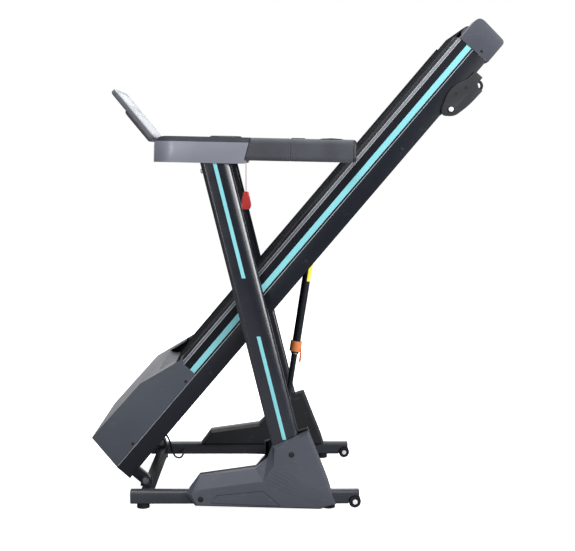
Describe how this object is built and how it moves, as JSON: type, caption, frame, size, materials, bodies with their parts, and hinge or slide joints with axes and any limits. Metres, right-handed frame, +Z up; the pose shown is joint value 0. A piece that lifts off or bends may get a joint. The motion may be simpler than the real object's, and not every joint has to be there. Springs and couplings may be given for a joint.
{
  "type": "folding treadmill",
  "caption": "Folding home treadmill shown folded, with motor hood, leaning uprights, side handlebars, tilted display and a gas strut under the deck.",
  "frame": {"origin": "on the floor under the centre of the folded machine", "axes": "+X toward the user end, +Y across the machine to its left-hand side as the user faces the display, +Z up"},
  "size_m": [1.1551, 0.748, 1.3647],
  "materials": {
    "frame_steel": "satin black-blue powder coat",
    "shroud_plastic": "grey grained plastic",
    "hood_plastic": "grey grained plastic",
    "dark_plastic": "dark grey moulded plastic",
    "grip_foam": "dark grey soft grip",
    "rubber": "matt black",
    "belt_rubber": "black woven-faced belt",
    "steel_bright": "zinc plated",
    "skirt_aluminium": "black anodised extrusion",
    "screen": "pale gloss screen panel",
    "red_plastic": "red moulded plastic",
    "green_plastic": "green moulded plastic",
    "red_cord": "red nylon cord",
    "orange_plastic": "orange moulded plastic",
    "cable_jacket": "black cable jacket",
    "board": "laminated fibreboard"
  },
  "bodies": {
    "base": {"front_cross_tube": "frame_steel", "rear_cross_tube": "frame_steel", "console_lower_shell": "shroud_plastic", "console_upper_shell": "dark_plastic", "display_housing": "dark_plastic", "display_screen": "screen", "console_cable": "cable_jacket", "left_base_rail": "frame_steel", "right_base_rail": "frame_steel", "left_front_foot": "rubber", "right_front_foot": "rubber", "left_rear_foot": "rubber", "right_rear_foot": "rubber", "left_wheel_bolt": "steel_bright", "right_wheel_bolt": "steel_bright", "left_pivot_bolt": "steel_bright", "right_pivot_bolt": "steel_bright", "left_upright": "frame_steel", "right_upright": "frame_steel", "left_outer_shroud": "shroud_plastic", "right_outer_shroud": "shroud_plastic", "left_inner_shroud": "shroud_plastic", "right_inner_shroud": "shroud_plastic", "left_handlebar": "grip_foam", "right_handlebar": "grip_foam"},
    "deck": {"left_deck_rail": "frame_steel", "right_deck_rail": "frame_steel", "motor_plate": "frame_steel", "strut_cross_member": "frame_steel", "rear_cross_member": "frame_steel", "left_foot_rail": "skirt_aluminium", "right_foot_rail": "skirt_aluminium", "running_board": "board", "running_belt": "belt_rubber", "drive_motor": "dark_plastic", "drive_belt": "rubber", "motor_hood": "hood_plastic", "power_inlet": "dark_plastic", "left_end_cap": "shroud_plastic", "right_end_cap": "shroud_plastic"},
    "strut_rod": {"strut_rod": "frame_steel"},
    "strut_tube": {"strut_tube": "frame_steel"},
    "latch_lever": {"latch_lever": "orange_plastic"},
    "front_roller": {"front_roller": "steel_bright"},
    "rear_roller": {"rear_roller": "steel_bright"},
    "motor_pulley": {"motor_pulley": "steel_bright"},
    "power_switch": {"power_switch": "red_plastic"},
    "start_button": {"start_button": "green_plastic"},
    "stop_button": {"stop_button": "red_plastic"},
    "safety_key": {"safety_key": "red_plastic", "safety_cord": "red_cord", "safety_clip": "red_plastic"},
    "left_transport_wheel": {"left_transport_wheel": "rubber"},
    "right_transport_wheel": {"right_transport_wheel": "rubber"},
    "left_incline_foot": {"left_incline_foot": "dark_plastic"},
    "right_incline_foot": {"right_incline_foot": "dark_plastic"},
    "left_incline_wheel": {"left_incline_wheel": "rubber"},
    "right_incline_wheel": {"right_incline_wheel": "rubber"},
    "left_grip_rocker": {"left_grip_rocker": "rubber"},
    "right_grip_rocker": {"right_grip_rocker": "rubber"}
  },
  "joints": [
    {"name": "deck_fold", "type": "hinge", "parent": "base", "child": "deck", "pos_m": [-0.424, 0, 0.0665], "axis": [0, 1, 0], "range_deg": [0, 52], "deforming": ["console_cable"]},
    {"name": "strut_swing", "type": "hinge", "parent": "base", "child": "strut_rod", "pos_m": [-0.047, 0, 0.079], "axis": [0, 1, 0], "range_deg": [0, 80]},
    {"name": "strut_stroke", "type": "slide", "parent": "strut_rod", "child": "strut_tube", "axis": [0.1538, 0, 0.9881], "range_m": [-0.2165, 0]},
    {"name": "latch_tilt", "type": "hinge", "parent": "strut_tube", "child": "latch_lever", "pos_m": [0.00637, 0, 0.42187], "axis": [0, 1, 0], "range_deg": [0, 6], "stiffness_Nm_per_rad": 1.5},
    {"name": "left_transport_wheel_spin", "type": "hinge", "parent": "base", "child": "left_transport_wheel", "pos_m": [0.167, 0.336, 0.02], "axis": [0, 1, 0], "continuous": true},
    {"name": "left_incline_set", "type": "hinge", "parent": "deck", "child": "left_incline_foot", "pos_m": [0.4332, 0.287, 1.11429], "axis": [0, 1, 0], "range_deg": [0, 18]},
    {"name": "left_incline_wheel_spin", "type": "hinge", "parent": "left_incline_foot", "child": "left_incline_wheel", "pos_m": [0.50494, 0.2765, 1.17929], "axis": [0, 1, 0], "continuous": true},
    {"name": "left_grip_rock", "type": "hinge", "parent": "base", "child": "left_grip_rocker", "pos_m": [0.09936, 0.328, 1.02868], "axis": [0, 1, 0], "range_deg": [-4, 4], "stiffness_Nm_per_rad": 0.4},
    {"name": "right_transport_wheel_spin", "type": "hinge", "parent": "base", "child": "right_transport_wheel", "pos_m": [0.167, -0.336, 0.02], "axis": [0, 1, 0], "continuous": true},
    {"name": "right_incline_set", "type": "hinge", "parent": "deck", "child": "right_incline_foot", "pos_m": [0.4332, -0.287, 1.11429], "axis": [0, 1, 0], "range_deg": [0, 18]},
    {"name": "right_incline_wheel_spin", "type": "hinge", "parent": "right_incline_foot", "child": "right_incline_wheel", "pos_m": [0.50494, -0.2765, 1.17929], "axis": [0, 1, 0], "continuous": true},
    {"name": "right_grip_rock", "type": "hinge", "parent": "base", "child": "right_grip_rocker", "pos_m": [0.09936, -0.328, 1.02868], "axis": [0, 1, 0], "range_deg": [-4, 4], "stiffness_Nm_per_rad": 0.4},
    {"name": "front_roller_spin", "type": "hinge", "parent": "deck", "child": "front_roller", "pos_m": [-0.32705, 0, 0.3648], "axis": [0, 1, 0], "continuous": true},
    {"name": "rear_roller_spin", "type": "hinge", "parent": "deck", "child": "rear_roller", "pos_m": [0.49153, 0, 1.32662], "axis": [0, 1, 0], "continuous": true},
    {"name": "motor_spin", "type": "hinge", "parent": "deck", "child": "motor_pulley", "pos_m": [-0.4279, -0.23, 0.22083], "axis": [0, 1, 0], "continuous": true},
    {"name": "power_switch_rock", "type": "hinge", "parent": "deck", "child": "power_switch", "pos_m": [-0.53614, 0.11, 0.14303], "axis": [0, 1, 0], "range_deg": [-5, 5]},
    {"name": "start_press", "type": "slide", "parent": "base", "child": "start_button", "axis": [0.0209, 0, 0.9998], "range_m": [-0.002, 0], "stiffness_N_per_m": 800},
    {"name": "stop_press", "type": "slide", "parent": "base", "child": "stop_button", "axis": [0.0209, 0, 0.9998], "range_m": [-0.002, 0], "stiffness_N_per_m": 800},
    {"name": "safety_key_pull", "type": "slide", "parent": "base", "child": "safety_key", "axis": [1, 0, 0], "range_m": [0, 0.03]}
  ],
  "couplings": [
    {"joint": "strut_swing", "follows": "deck_fold", "ratio": 1.5352},
    {"joint": "strut_stroke", "follows": "deck_fold", "m_per_rad": -0.23797},
    {"joint": "rear_roller_spin", "follows": "front_roller_spin", "ratio": 1},
    {"joint": "motor_spin", "follows": "front_roller_spin", "ratio": 2.0714}
  ]
}
